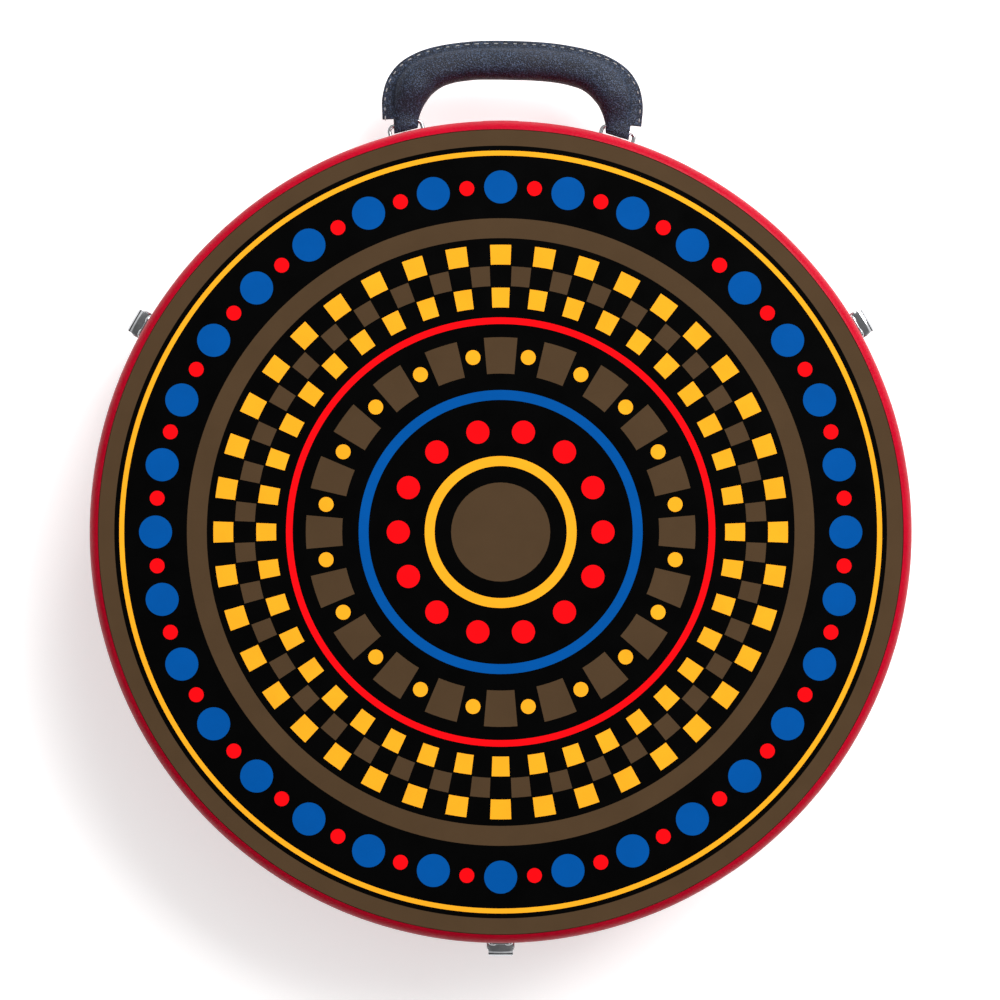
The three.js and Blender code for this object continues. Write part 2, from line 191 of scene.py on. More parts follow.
def rounded_box(half, low, high, radius):
    """A rectangle, even about the middle, with four rounded corners."""
    return rounded([(-half, low, radius), (half, low, radius), (half, high, radius), (-half, high, radius)])


# Which two axes an outline lies in, and which one it is extruded along: x out, y sideways, z up.
SIDE_VIEW = (0, 2, 1)
PLAN_VIEW = (0, 1, 2)
FRONT_VIEW = (1, 2, 0)


def prism(view, outline, low, high):
    """A closed prism in a wall station's own axes."""
    bm = bmesh.new()
    ends = []
    for level in (low, high):
        ring = []
        for point in outline:
            place = [0, 0, 0]
            place[view[0]] = point[0] * MM
            place[view[1]] = point[1] * MM
            place[view[2]] = level * MM
            ring.append(bm.verts.new(place))
        ends.append(ring)
    bottom, top = ends
    bm.faces.new(bottom)
    bm.faces.new(top[::-1])
    for index, vertex in enumerate(bottom):
        after = (index + 1) % len(bottom)
        bm.faces.new((vertex, top[index], top[after], bottom[after]))
    bmesh.ops.recalc_face_normals(bm, faces=bm.faces)
    return bm


def scratch(bm):
    """A nameless object for a boolean step, removed again by combine."""
    return place_object("scratch", mesh_of("scratch", bm))


def combine(first, *steps):
    """Joins, cuts or intersects closed shapes one after the other."""
    target = scratch(first)
    tools = []
    for operation, shape in steps:
        tool = scratch(shape)
        tools.append(tool)
        modifier = target.modifiers.new("step", "BOOLEAN")
        modifier.operation = operation
        modifier.solver = "EXACT"
        modifier.object = tool
    bpy.context.view_layer.update()
    evaluated = target.evaluated_get(bpy.context.evaluated_depsgraph_get())
    bm = bmesh.new()
    bm.from_mesh(evaluated.to_mesh())
    for made in [target, *tools]:
        bpy.data.objects.remove(made)
    return bm


def soften(bm, amount, segments=2):
    """Rounds every sharp edge a little."""
    bmesh.ops.remove_doubles(bm, verts=bm.verts, dist=0.002 * MM)
    bmesh.ops.dissolve_limit(bm, angle_limit=math.radians(1), verts=bm.verts, edges=bm.edges)
    sharp = [edge for edge in bm.edges
             if edge.is_manifold and edge.calc_face_angle() > math.radians(35)]
    bmesh.ops.bevel(bm, geom=sharp, offset=amount * MM, segments=segments, profile=0.5,
                    affect="EDGES", clamp_overlap=True)
    return bm


def station(angle):
    """Where a fitting stands on the wall: x outward from the covering, y sideways, z up."""
    turned = Matrix.Rotation(math.radians(angle), 4, "Z")
    return turned @ Matrix.Translation((RADIUS * MM, 0, 0))


def placed(bm, angle):
    """A copy of a fitting's shape, moved to its station."""
    copy = bm.copy()
    bmesh.ops.transform(copy, matrix=station(angle), verts=copy.verts)
    return copy


# ---- Materials ----
def node(tree, kind, inputs=None, **settings):
    made = tree.nodes.new(kind)
    for name, value in settings.items():
        setattr(made, name, value)
    for name, value in (inputs or {}).items():
        if isinstance(value, bpy.types.NodeSocket):
            tree.links.new(value, made.inputs[name])
        else:
            made.inputs[name].default_value = value
    return made


def start_material(name, values):
    """A new material with a principled shader, its plain values set on the shader's own sockets."""
    material = bpy.data.materials.new(name)
    material.use_nodes = True
    tree = material.node_tree
    surface = tree.nodes["Principled BSDF"]
    for socket, value in values.items():
        surface.inputs[socket].default_value = value
    place = node(tree, "ShaderNodeTexCoord").outputs["Object"]
    return material, tree, surface, place


def grain(tree, place, scale, detail=3, rough=0.5):
    values = {"Vector": place, "Scale": scale, "Detail": detail, "Roughness": rough}
    return node(tree, "ShaderNodeTexNoise", values).outputs[0]


def cells(tree, place, scale, feature="F1"):
    made = node(tree, "ShaderNodeTexVoronoi", {"Vector": place, "Scale": scale}, feature=feature)
    return made.outputs["Distance"]


def spread(tree, value, low, high, to_low, to_high):
    """A value carried from one range to another, held inside it."""
    values = {"Value": value, "From Min": low, "From Max": high, "To Min": to_low, "To Max": to_high}
    return node(tree, "ShaderNodeMapRange", values).outputs[0]


def tint(tree, factor, first, second):
    """A mix of two colours; the first may be one that is already worked out."""
    made = node(tree, "ShaderNodeMix", data_type="RGBA")
    tree.links.new(factor, made.inputs[0])
    if isinstance(first, bpy.types.NodeSocket):
        tree.links.new(first, made.inputs[6])
    else:
        made.inputs[6].default_value = (*first, 1)
    made.inputs[7].default_value = (*second, 1)
    return made.outputs[2]


def total(tree, first, second, share=1.0):
    """First plus a share of second."""
    made = node(tree, "ShaderNodeMath", operation="MULTIPLY_ADD")
    tree.links.new(second, made.inputs[0])
    made.inputs[1].default_value = share
    tree.links.new(first, made.inputs[2])
    return made.outputs[0]


def raise_by(tree, surface, height, depth_mm, strength=1.0):
    values = {"Height": height, "Distance": depth_mm * MM, "Strength": strength}
    tree.links.new(node(tree, "ShaderNodeBump", values).outputs[0], surface.inputs["Normal"])


def scaled(colour, factor):
    return tuple(min(1, channel * factor) for channel in colour)


def vinyl_material():
    """Glossy red vinyl with a pebbled grain, with painted shade in the hollows between the pebbles."""
    red = (0.43, 0.0012, 0.016)
    material, tree, surface, place = start_material("red_vinyl", {"Specular IOR Level": 0.08})
    pebble = cells(tree, place, 780, "SMOOTH_F1")
    cloudy = grain(tree, place, 22, 4)
    colour = tint(tree, spread(tree, cloudy, 0.3, 0.7, 0, 1), scaled(red, 0.86), red)
    # painted shade: the colour darkens towards each pebble's low edge, where the bump is lowest
    painted_valley_shade = spread(tree, pebble, 0.3, 0.75, 0, 0.2)
    colour = tint(tree, painted_valley_shade, colour, scaled(red, 0.45))
    tree.links.new(colour, surface.inputs["Base Color"])
    worn = grain(tree, place, 140, 4)
    tree.links.new(spread(tree, worn, 0.3, 0.7, 0.27, 0.42), surface.inputs["Roughness"])
    height = total(tree, spread(tree, pebble, 0, 0.8, 1, 0), grain(tree, place, 2600, 2), 0.25)
    raise_by(tree, surface, height, 0.09)
    return material


def ink_material(name, colour):
    """Screen-printed ink on a smooth laminate: mottled, with a faint orange-peel."""
    material, tree, surface, place = start_material(name, {"Specular IOR Level": 0.02})
    mottled = grain(tree, place, 34, 5, 0.6)
    shade = tint(tree, spread(tree, mottled, 0.3, 0.7, 0, 1), scaled(colour, 0.93), scaled(colour, 1.04))
    speckle = spread(tree, grain(tree, place, 1900, 2), 0.62, 0.75, 0, 0.12)
    shade = tint(tree, speckle, shade, scaled(colour, 0.5))
    tree.links.new(shade, surface.inputs["Base Color"])
    smear = grain(tree, place, 60, 4)
    tree.links.new(spread(tree, smear, 0.3, 0.7, 0.36, 0.5), surface.inputs["Roughness"])
    raise_by(tree, surface, grain(tree, place, 700, 3), 0.02, 0.6)
    return material


def leather_material():
    """Blue-black grained leather: raised pebbles with a painted highlight and painted glints, and painted
    shade in the creases between them.
    """
    material, tree, surface, place = start_material("grained_leather", {"Specular IOR Level": 0.3})
    warp = node(tree, "ShaderNodeTexNoise", {"Vector": place, "Scale": 420, "Detail": 2}).outputs["Color"]
    bent = node(tree, "ShaderNodeMix", data_type="VECTOR")
    bent.inputs[0].default_value = 0.0012
    tree.links.new(place, bent.inputs[4])
    tree.links.new(warp, bent.inputs[5])
    crease = cells(tree, bent.outputs[1], 820, "DISTANCE_TO_EDGE")
    top = spread(tree, crease, 0.02, 0.3, 0, 1)
    # painted highlight on the pebble tops and painted shade in the creases, from the same mask that raises
    # the pebbles
    colour = tint(tree, top, (0.002, 0.0035, 0.008), (0.012, 0.020, 0.042))
    # painted glints: small light specks painted into the colour
    glints = spread(tree, grain(tree, place, 1100, 2), 0.5, 0.66, 0, 0.7)
    colour = tint(tree, glints, colour, (0.062, 0.094, 0.168))
    worn = spread(tree, grain(tree, place, 30, 3), 0.5, 0.8, 0, 0.2)
    colour = tint(tree, worn, colour, (0.03, 0.024, 0.027))
    tree.links.new(colour, surface.inputs["Base Color"])
    tree.links.new(spread(tree, top, 0, 1, 0.62, 0.4), surface.inputs["Roughness"])
    height = total(tree, top, grain(tree, place, 3200, 2), 0.3)
    raise_by(tree, surface, height, 0.16)
    return material


def thread_material():
    """Off-white waxed thread with its two plies twisted together."""
    material, tree, surface, place = start_material("waxed_thread", {"Sheen Weight": 0.3})
    values = {"Vector": place, "Scale": 900, "Distortion": 1.5, "Detail": 1}
    ply = node(tree, "ShaderNodeTexWave", values, bands_direction="DIAGONAL").outputs["Fac"]
    # painted shade in the grooves between the plies and a painted lighter tone on their crests, from the
    # wave that also makes the bump
    colour = tint(tree, ply, (0.20, 0.19, 0.19), (0.46, 0.45, 0.44))
    soiled = spread(tree, grain(tree, place, 160, 3), 0.45, 0.75, 0, 0.4)
    tree.links.new(tint(tree, soiled, colour, (0.30, 0.27, 0.25)), surface.inputs["Base Color"])
    tree.links.new(spread(tree, ply, 0, 1, 0.75, 0.55), surface.inputs["Roughness"])
    raise_by(tree, surface, ply, 0.1)
    return material


def metal_material(name, colour, gloss, dull):
    """Plated metal: fine drawn scratches, cloudy spots and a touch of darkening."""
    material, tree, surface, place = start_material(name, {"Metallic": 1.0})
    stretched = node(tree, "ShaderNodeMapping", {"Vector": place, "Scale": (900, 900, 90)}).outputs[0]
    scratch_lines = grain(tree, stretched, 4, 2)
    cloud = grain(tree, place, 260, 4, 0.6)
    shade = tint(tree, spread(tree, cloud, 0.35, 0.7, 0, 1), scaled(colour, 0.82), colour)
    tree.links.new(shade, surface.inputs["Base Color"])
    mixed = total(tree, cloud, scratch_lines, 0.5)
    tree.links.new(spread(tree, mixed, 0.4, 1.1, gloss, dull), surface.inputs["Roughness"])
    raise_by(tree, surface, scratch_lines, 0.012, 0.5)
    return material


def plush_material():
    """Charcoal plush: a dense short pile with brushed patches."""
    values = {"Sheen Weight": 0.8, "Sheen Roughness": 0.35, "Sheen Tint": (0.45, 0.46, 0.52, 1),
              "Specular IOR Level": 0.1}
    material, tree, surface, place = start_material("charcoal_plush", values)
    pile = grain(tree, place, 1700, 3, 0.7)
    brushed = grain(tree, place, 16, 3)
    shade = total(tree, spread(tree, brushed, 0.35, 0.65, 0, 0.7), pile, 0.4)
    tree.links.new(tint(tree, shade, (0.010, 0.010, 0.012), (0.055, 0.055, 0.066)),
                   surface.inputs["Base Color"])
    tree.links.new(spread(tree, pile, 0.3, 0.7, 0.85, 1), surface.inputs["Roughness"])
    raise_by(tree, surface, pile, 0.5, 0.9)
    return material


def plywood_material():
    """Bent birch plywood: thin plies, seen as rings on the mouth's edge, and a long grain."""
    material, tree, surface, place = start_material("birch_plywood", {"Specular IOR Level": 0.25})
    apart = node(tree, "ShaderNodeSeparateXYZ", {"Vector": place})
    flat = node(tree, "ShaderNodeCombineXYZ", {"X": apart.outputs[0], "Y": apart.outputs[1]}).outputs[0]
    from_axis = node(tree, "ShaderNodeVectorMath", {0: flat}, operation="LENGTH").outputs["Value"]
    ply = node(tree, "ShaderNodeMath", {0: from_axis, 1: 4200}, operation="MULTIPLY").outputs[0]
    wave = node(tree, "ShaderNodeMath", {0: ply}, operation="SINE").outputs[0]
    stretched = node(tree, "ShaderNodeMapping", {"Vector": place, "Scale": (1, 1, 14)}).outputs[0]
    figure = grain(tree, stretched, 45, 5, 0.6)
    colour = tint(tree, figure, (0.45, 0.27, 0.12), (0.72, 0.52, 0.30))
    colour = tint(tree, spread(tree, wave, -0.2, 0.6, 0, 0.55), colour, (0.26, 0.14, 0.06))
    tree.links.new(colour, surface.inputs["Base Color"])
    tree.links.new(spread(tree, figure, 0.3, 0.7, 0.55, 0.75), surface.inputs["Roughness"])
    raise_by(tree, surface, total(tree, figure, wave, 0.2), 0.08)
    return material


def floor_material():
    """A plain matt floor that glows a little, so that it stays pale."""
    material, tree, surface, place = start_material("pale_floor", {"Specular IOR Level": 0.1})
    cloudy = grain(tree, place, 1.5, 3)
    tree.links.new(tint(tree, cloudy, (0.80, 0.80, 0.80), (0.84, 0.84, 0.835)),
                   surface.inputs["Base Color"])
    surface.inputs["Roughness"].default_value = 0.85
    surface.inputs["Emission Color"].default_value = (1, 1, 1, 1)
    surface.inputs["Emission Strength"].default_value = 0.45
    return material


# The five inks, and the materials that several pieces share.
YELLOW = (0.86, 0.365, 0.015)
RED_INK = (0.82, 0.003, 0.006)
BROWN = (0.068, 0.040, 0.020)
BLUE = (0.001, 0.072, 0.30)
BLACK = (0.0008, 0.0008, 0.0008)

vinyl = vinyl_material()
chrome = metal_material("bright_chrome", (0.56, 0.57, 0.59), 0.06, 0.16)
steel = metal_material("plain_steel", (0.42, 0.42, 0.43), 0.3, 0.5)
leather = leather_material()
thread = thread_material()
plush = plush_material()
plywood = plywood_material()


# ---- The printed face: a plain pattern of rings, dots and blocks on a black ground ----
# The pattern is the script's own. Each colour of ink is a thin plate.
INK_TOP = FACE
INK_LOW = FACE - 0.45
GROUND_TOP = FACE - 0.12
BLOCK_ARC_STEPS = 4


def plate(bm, outline):
    """A closed flat plate of ink, from its outline of (x, y) in millimetres."""
    tops = [bm.verts.new((x * MM, y * MM, INK_TOP * MM)) for x, y in outline]
    feet = [bm.verts.new((x * MM, y * MM, INK_LOW * MM)) for x, y in outline]
    bm.faces.new(tops)
    bm.faces.new(feet[::-1])
    for index, top in enumerate(tops):
        after = (index + 1) % len(tops)
        bm.faces.new((top, feet[index], feet[after], tops[after]))


def ring(bm, inner, outer):
    """A plain ring of ink."""
    corners = [(inner, INK_LOW), (outer, INK_LOW), (outer, INK_TOP), (inner, INK_TOP)]
    turn(bm, corners, even_angles(360))


def dots(bm, count, distance, radius, first=0.0):
    """A row of discs; first is where the row starts, as a share of the spacing."""
    for index in range(count):
        angle = 2 * math.pi * (index + first) / count
        x, y = distance * math.cos(angle), distance * math.sin(angle)
        plate(bm, [(x + radius * math.cos(turned), y + radius * math.sin(turned))
                   for turned in even_angles(48)])


def blocks(bm, count, inner, outer, share, first=0.0):
    """A row of blocks between two circles; share is how much of the spacing each one fills."""
    half = math.pi / count * share
    for index in range(count):
        middle = 2 * math.pi * (index + first) / count
        angles = [middle - half + 2 * half * step / BLOCK_ARC_STEPS for step in range(BLOCK_ARC_STEPS + 1)]
        corners = [(inner, angle) for angle in angles] + [(outer, angle) for angle in reversed(angles)]
        plate(bm, [(radius * math.cos(angle), radius * math.sin(angle)) for radius, angle in corners])


def print_face():
    """Plain concentric bands, from the edge to the middle."""
    black, yellow, red, brown, blue = (bmesh.new() for _ in range(5))
    turn(black, [(0, FACE - SKIN), (PANEL_RADIUS, FACE - SKIN), (PANEL_RADIUS, GROUND_TOP), (0, GROUND_TOP)],
         even_angles(180))
    ring(brown, 234, PANEL_RADIUS - 0.1)
    ring(yellow, 228, 231)
    dots(blue, 32, 209, 10)
    dots(red, 32, 209, 4.5, 0.5)
    ring(brown, 178, 190)
    blocks(yellow, 40, 162, 174, 0.47)
    blocks(brown, 40, 149, 161, 0.47, 0.5)
    blocks(yellow, 40, 136, 148, 0.47)
    ring(red, 126, 130)
    blocks(brown, 20, 96, 118, 0.55)
    dots(yellow, 20, 107, 4.5, 0.5)
    ring(blue, 80, 86)
    dots(red, 14, 62, 7)
    ring(yellow, 40, 46)
    dots(brown, 1, 0, 30)
    inks = (("black", black, BLACK), ("yellow", yellow, YELLOW), ("red", red, RED_INK),
            ("brown", brown, BROWN), ("blue", blue, BLUE))
    for name, bm, colour in inks:
        put("print_" + name, bm, ink_material("ink_" + name, colour), "lid",
            ["face_print"] if name == "black" else ())


# ---- The shells ----
def lid_roll(steps=14):
    """The lid's rolled edge, from the wall up to the face: a large arc, steep even where it starts."""
    steep, shallow = math.radians(82), math.radians(24)
    radius = EDGE / (math.sin(steep) - math.sin(shallow))
    points = []
    for step in range(steps + 1):
        tilt = steep + (shallow - steep) * step / steps
        points.append((RADIUS - radius * (math.sin(steep) - math.sin(tilt)),
                       FACE - 0.1 - radius * (math.cos(shallow) - math.cos(tilt))))
    return points


LID_ROLL = lid_roll()
SEAM_ANGLE = 90              # where the covering's two ends overlap, between the handle's brackets
SEAM_HALF_WIDTH = 11
SEAM_STEP = 0.2              # how far the overlap stands out
SEAM_NUDGES = (-0.16, -0.08, 0, 0.08, 0.16)
EDGE_BREAK = 0.3             # how much the edges of the covering and the plywood are broken


def wall_angles(count=360):
    """Even angles with a few more at the edges of the covering's overlap."""
    half = math.degrees(SEAM_HALF_WIDTH / RADIUS)
    extra = [math.radians(SEAM_ANGLE + side * half + nudge)
             for side in (-1, 1) for nudge in SEAM_NUDGES]
    return sorted(even_angles(count) + extra)


def on_wall(radius, height, angle):
    """Slight waves in the glued covering, and the raised overlap at its seam."""
    wave = noise.noise(Vector((math.cos(angle) * 7, math.sin(angle) * 7, height / 30)))
    out = 0.1 * wave
    if radius > RADIUS - SKIN / 2:
        away = abs(math.remainder(angle - math.radians(SEAM_ANGLE), 2 * math.pi)) * RADIUS
        inside = smoothstep(SEAM_HALF_WIDTH - away, -0.3, 0.3)
        out += SEAM_STEP * inside * smoothstep(FACE - EDGE - height, -1, 3)
    return radius + out, height


def add_shells():
    """The red coverings of the lid, the base and the back, and the two plywood hoops."""
    centre = RADIUS - EDGE
    lid = [(RADIUS - SKIN, LID_LOW + EDGE_BREAK), (RADIUS - SKIN + EDGE_BREAK, LID_LOW),
           (RADIUS - 0.35, LID_LOW), (RADIUS, LID_LOW + 0.35), (RADIUS, LID_LOW + 6), (RADIUS, LID_LOW + 16)]
    lid += LID_ROLL
    lid += [(centre, FACE - 0.35), (centre, FACE - SKIN - 0.2)]
    lid += [(radius - SKIN * 0.7, height - SKIN * 0.7) for radius, height in LID_ROLL[-3:0:-2]]
    lid += [(RADIUS - SKIN, LID_ROLL[0][1])]
    put("lid_vinyl", turn(bmesh.new(), lid, wall_angles(), on_wall), vinyl, "lid",
        ["lid_cover"])

    low = low_of("base_cover").z
    base = arc(centre, low + EDGE, EDGE, -90, 0, 12)
    base += [(RADIUS, 22), (RADIUS, 50), (RADIUS, BASE_TOP - 0.35), (RADIUS - 0.35, BASE_TOP),
             (RADIUS - SKIN + EDGE_BREAK, BASE_TOP), (RADIUS - SKIN, BASE_TOP - EDGE_BREAK)]
    base += arc(centre, low + EDGE, EDGE - SKIN, 0, -90, 6)
    put("base_vinyl", turn(bmesh.new(), base, wall_angles(), on_wall), vinyl, "base",
        ["base_cover"])

    back_top = high_of("back_cover").z
    back = [(0, 0), (120, 0)] + arc(PANEL_RADIUS - 0.5, 0.5, 0.5, -90, 0, 3)
    back += [(PANEL_RADIUS, back_top), (0, back_top)]
    put("back_vinyl", turn(bmesh.new(), back, even_angles(240)), vinyl, "base",
        ["back_cover"])

    hoop_low, hoop_top = levels_of("base_hoop")
    thickness = HOOP_OUT - HOOP_IN
    corner = arc(HOOP_IN, hoop_low + thickness, thickness, -90, 0, 6)
    wall = corner + [(HOOP_OUT, hoop_top - EDGE_BREAK), (HOOP_OUT - EDGE_BREAK, hoop_top),
                     (HOOP_IN + EDGE_BREAK, hoop_top), (HOOP_IN, hoop_top - EDGE_BREAK)]
    put("base_plywood_hoop", turn(bmesh.new(), wall, even_angles(240)), plywood, "base",
        ["base_hoop"])

    hoop_low, hoop_top = levels_of("lid_hoop")
    wall = [(HOOP_IN, hoop_low + EDGE_BREAK), (HOOP_IN + EDGE_BREAK, hoop_low),
            (HOOP_OUT - EDGE_BREAK, hoop_low), (HOOP_OUT, hoop_low + EDGE_BREAK)]
    wall += arc(HOOP_IN, hoop_top - thickness, thickness, 0, 90, 6)
    put("lid_plywood_hoop", turn(bmesh.new(), wall, even_angles(240)), plywood, "lid",
        ["lid_hoop"])


# ---- The plush-covered padding ----
def lumpy(amount, cell, seed):
    """Uneven stuffing: moves each point up and down by a smooth noise."""
    def shape(radius, height, angle):
        place = Vector((radius * math.cos(angle) / cell, radius * math.sin(angle) / cell, seed))
        return radius, height + amount * noise.noise(place)
    return shape


def pad_profile(radius, low, high, crown, facing_up):
    """A disc of foam with rounded shoulders and a soft crown on the side that shows."""
    shoulder = 4.5
    rings = 14
    points = []
    for step in range(rings + 1):
        out = (radius - shoulder) * step / rings
        points.append((out, high - crown * (out / radius) ** 2))
    edge = high - crown
    points += arc(radius - shoulder, edge - shoulder, shoulder, 75, 0, 5)
    points += [(radius, low + 1), (radius - 1, low), (0, low)]
    if facing_up:
        return points
    return [(out, low + high - height) for out, height in points]


PAD_CROWN = 1.2
BUMP_ROOM = 0.5              # left above a pad's surface for its bumps


def add_pad(name, body, radius, low, high, facing_up, seed, *nodes):
    """A disc of padding with an uneven surface on the side that shows and a flat back."""
    bumps = lumpy(BUMP_ROOM, 34, seed)
    backing = low if facing_up else high

    def shape(out, height, angle):
        if abs(height - backing) < 1.5:
            return out, height
        return bumps(out, height, angle)

    foot, top = (low, high - BUMP_ROOM) if facing_up else (low + BUMP_ROOM, high)
    disc = turn(bmesh.new(), pad_profile(radius, foot, top, PAD_CROWN, facing_up), even_angles(180), shape)
    piece = put(name, disc, plush, body, nodes, 60)


def puffed_wall(name, body, inner, outer, low, high, bulge, nodes):
    """A padded band on the inside of the wall, gathered a little at its top and foot."""
    def shape(radius, height, angle):
        if radius > outer - 0.5:
            return radius, height
        pucker = 0.25 * math.sin(angle * 96 + 2 * math.sin(angle * 7))
        near_end = max(0, 1 - min(height - low, high - height) / 9)
        wave = 0.35 * noise.noise(Vector((math.cos(angle) * 6, math.sin(angle) * 6, height / 25)))
        return radius + pucker * near_end + wave, height

    rings = 12
    round_off = min(3.5, (outer - inner) * 0.45)
    points = [(outer, low), (outer, high)]
    points += arc(inner + round_off, high - round_off, round_off, 90, 180, 5)
    for step in range(1, rings):
        share = step / rings
        height = high - round_off - (high - low - 2 * round_off) * share
        points.append((inner - bulge * math.sin(math.pi * share) + 0.4, height))
    points += arc(inner + round_off, low + round_off, round_off, 180, 270, 5)
    band = turn(bmesh.new(), points, even_angles(480), shape)
    piece = put(name, band, plush, body, nodes, 60)


def add_padding():
    """The floor and lid cushions, the side band, the lip that centres the lid, and the lid's lining."""
    pad_low, pad_high = levels_of("floor_pad")
    add_pad("floor_cushion", "base", PANEL_RADIUS - 0.5, pad_low, pad_high, True, 1.7, "floor_pad")
    pad_low, pad_high = levels_of("lid_pad")
    add_pad("lid_cushion", "lid", high_of("lid_pad").x - 0.3, pad_low, pad_high, False, 5.3, "lid_pad")

    inside = PANEL_RADIUS - 8.2
    side_low, side_high = levels_of("side_padding")
    puffed_wall("side_cushion", "base", inside, PANEL_RADIUS - 0.1, side_low, side_high, 0.4,
                ["side_padding"])

    lip_low, lip_high = levels_of("locating_lip")
    shelf = PANEL_RADIUS - 2.6
    lip = [(PANEL_RADIUS - 0.1, lip_low), (PANEL_RADIUS - 0.1, BASE_TOP - 0.8), (shelf, BASE_TOP - 0.4)]
    lip += [(shelf, lip_high - 3)] + arc(shelf - 2.6, lip_high - 2.6, 2.6, 15, 165, 8)
    lip += [(inside, lip_high - 4), (inside - 0.1, (lip_low + lip_high) / 2), (inside + 0.3, lip_low + 1.5),
            (inside + 1.6, lip_low)]

    def shape(radius, height, angle):
        wave = 0.2 * noise.noise(Vector((math.cos(angle) * 9, math.sin(angle) * 9, height / 20)))
        return radius + min(0, wave), height

    piece = put("locating_lip_plush", turn(bmesh.new(), lip, even_angles(300), shape), plush, "base",
                ["locating_lip"], 60)

    lining_low, lining_high = levels_of("lid_lining")
    lining_in = PANEL_RADIUS - 1.1
    lining = [(PANEL_RADIUS, lining_low), (PANEL_RADIUS, lining_high), (lining_in, lining_high)]
    lining += [(lining_in, lining_low + 0.4), (lining_in + 0.3, lining_low)]
    piece = put("lid_wall_lining", turn(bmesh.new(), lining, even_angles(300), shape), plush, "lid",
                ["lid_lining"], 60)


# ---- Fittings on the wall ----
def turned_sideways(profile, out, up, count=28):
    """A shape turned about an axis that runs sideways through (out, up); profile is (radius, side)."""
    bm = turn(bmesh.new(), profile, even_angles(count))
    matrix = Matrix.Translation((out * MM, 0, up * MM)) @ Matrix.Rotation(math.radians(90), 4, "X")
    bmesh.ops.transform(bm, matrix=matrix, verts=bm.verts)
    return bm


def pin(out, up, radius, half_length):
    """A pin with a low peened head at each end."""
    head = radius + 0.6
    end = half_length + 0.15
    profile = [(0, -end - 0.55), (head * 0.6, -end - 0.45), (head, -end - 0.1), (head, -end), (radius, -end),
               (radius, end), (head, end), (head, end + 0.1), (head * 0.6, end + 0.45), (0, end + 0.55)]
    return turned_sideways(profile, out, up)


def rivet(radius, seat, side, up):
    """A domed rivet head standing on a plate, with a thin washer line under it."""
    profile = [(0, seat + 1.4)]
    profile += [(radius * share, seat + 0.25 + 1.15 * math.sqrt(1 - share ** 2))
                for share in (0.25, 0.5, 0.7, 0.85, 0.95, 1)]
    profile += [(radius, seat + 0.1), (radius * 0.94, seat), (1.2, seat), (1.2, seat - 2), (0, seat - 2)]
    bm = turn(bmesh.new(), profile, even_angles(32))
    matrix = Matrix.Translation((0, side * MM, up * MM)) @ Matrix.Rotation(math.radians(90), 4, "Y")
    bmesh.ops.transform(bm, matrix=matrix, verts=bm.verts)
    return bm


LATCH_HALF = 8               # half the latch's width
PIVOT = (6.2, 70)            # the lever's pin, as (out, up)
LINK = (5.8, 62)             # the hook's pin
LEVER_PIN_RADIUS = 1.4
HOOK_PIN_RADIUS = 1.2
PLATE_IN, PLATE_OUT = 0.3, 1.3       # a plate's back and front, from the covering
PLATE_LOW, PLATE_HIGH = 30, 77
EAR_IN, EAR_OUT = 5.2, 6.3           # the plate's ears, from its middle
HOOK_HALF = 7.5              # half the hook's and the keeper's width
KEEPER_SHELF = 86.8          # what the claw bears on
KEEPER_HIGH = 101
PLATE_RIVETS = (34, 46)      # heights of the plate's rivets
KEEPER_RIVETS = (-4.5, 4.5)  # sideways places of the keeper's rivets
KEEPER_UP = 94.5             # their height
RIVET_RADIUS = 2.5


def pin_round(centre, radius, start, end, steps=10):
    """Part of a circle round a pin, between two angles in degrees."""
    return arc(centre[0], centre[1], radius, start, end, steps)


def latch_plate_shape():
    """The riveted plate, its two ears for the lever's pin, and a pressed rib."""
    back = prism(FRONT_VIEW, rounded_box(LATCH_HALF, PLATE_LOW, PLATE_HIGH, 2.5), PLATE_IN, PLATE_OUT)
    outline = [(0.8, 64.5)] + pin_round(PIVOT, 3.2, -60, 90) + [(0.8, 74.5)]
    ears = [("UNION", prism(SIDE_VIEW, outline, side * EAR_IN, side * EAR_OUT)) for side in (-1, 1)]
    rib = rounded_box(3.2, 52, 61, 1.5)
    return soften(combine(back, *ears, ("UNION", prism(FRONT_VIEW, rib, 1.2, 1.7))), 0.16)


def latch_lever_shape():
    """A channel of bent sheet, open at the top for the hook, with a finger lip and a raised panel."""
    front, inner, cheek = 12.6, 11.4, LATCH_HALF - 1.2
    channel = rounded([(2, -LATCH_HALF), (front, -LATCH_HALF, 2.2), (front, LATCH_HALF, 2.2),
                       (2, LATCH_HALF), (2, cheek), (inner, cheek, 1), (inner, -cheek, 1), (2, -cheek)], 6)
    side_outline = rounded([(2.4, 40, 3), (7.5, 29.5, 3), (12.9, 29.5), (12.9, 49), (9.4, 62, 4),
                            *pin_round(PIVOT, 3, 0, 180)])
    window = rounded([(-cheek, 50, 1.5), (cheek, 50, 1.5), (cheek, 80), (-cheek, 80)])
    lip = rounded([(inner, 33), (inner, 30, 2), (13, 27.1, 0.55), (14.4, 27.7, 0.55), (front, 31, 1.5),
                   (front, 33)])
    panel = rounded_box(4.6, 34, 46.5, 1.6)
    shape = combine(
        prism(PLAN_VIEW, channel, 28, 76),
        ("INTERSECT", prism(SIDE_VIEW, side_outline, -9, 9)),
        ("DIFFERENCE", prism(FRONT_VIEW, window, 9.8, 14)),
        ("UNION", prism(SIDE_VIEW, lip, 0.8 - LATCH_HALF, LATCH_HALF - 0.8)),
        ("UNION", prism(FRONT_VIEW, panel, front - 0.2, front + 0.4)),
    )
    return soften(shape, 0.2)


